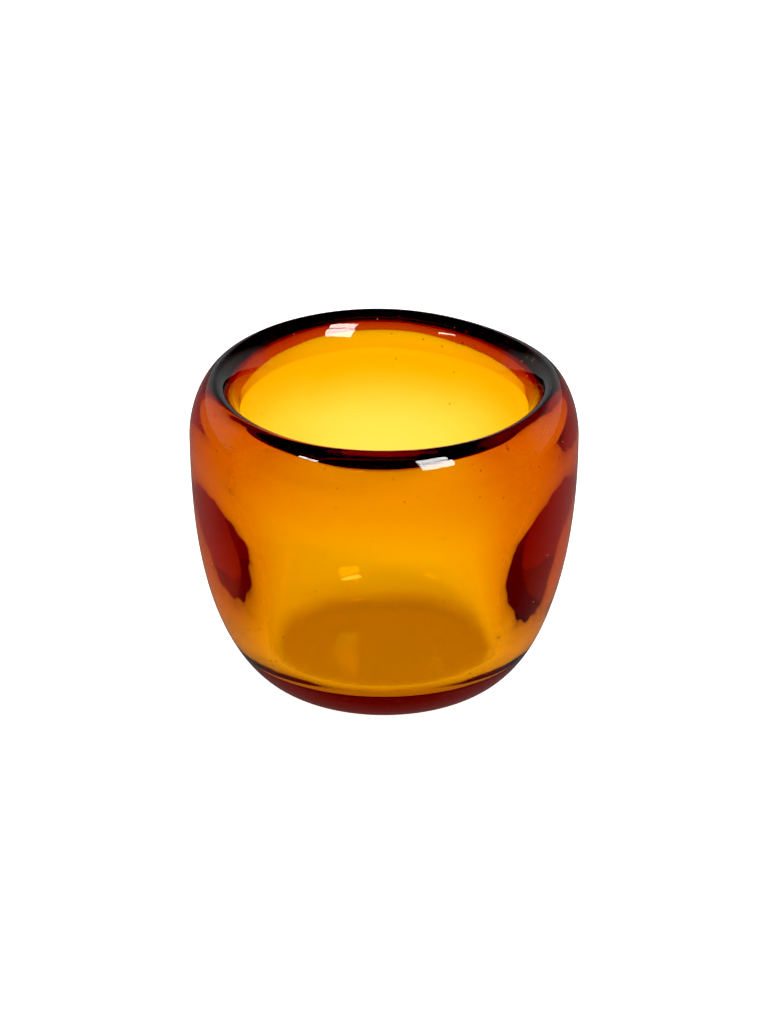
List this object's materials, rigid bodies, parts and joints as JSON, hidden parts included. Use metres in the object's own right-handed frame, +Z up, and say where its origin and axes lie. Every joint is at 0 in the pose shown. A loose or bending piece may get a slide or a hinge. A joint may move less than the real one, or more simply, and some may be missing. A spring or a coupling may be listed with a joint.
{
  "type": "tealight holder",
  "caption": "Thick-walled amber glass cup with a rounded, turned-in rim and a heavy base, which holds a tealight on its flat floor.",
  "frame": {"origin": "centre of the flat underside, at the level of the table", "axes": "+Z up the axis of the cup, out of its mouth; X and Y are level, and the cup is the same all round"},
  "size_m": [0.09, 0.09, 0.073],
  "materials": {
    "amber_glass": "solid-coloured amber glass, clear and fire-polished, with small seeds"
  },
  "bodies": {
    "root": {"glass_bowl": "amber_glass"}
  },
  "joints": []
}
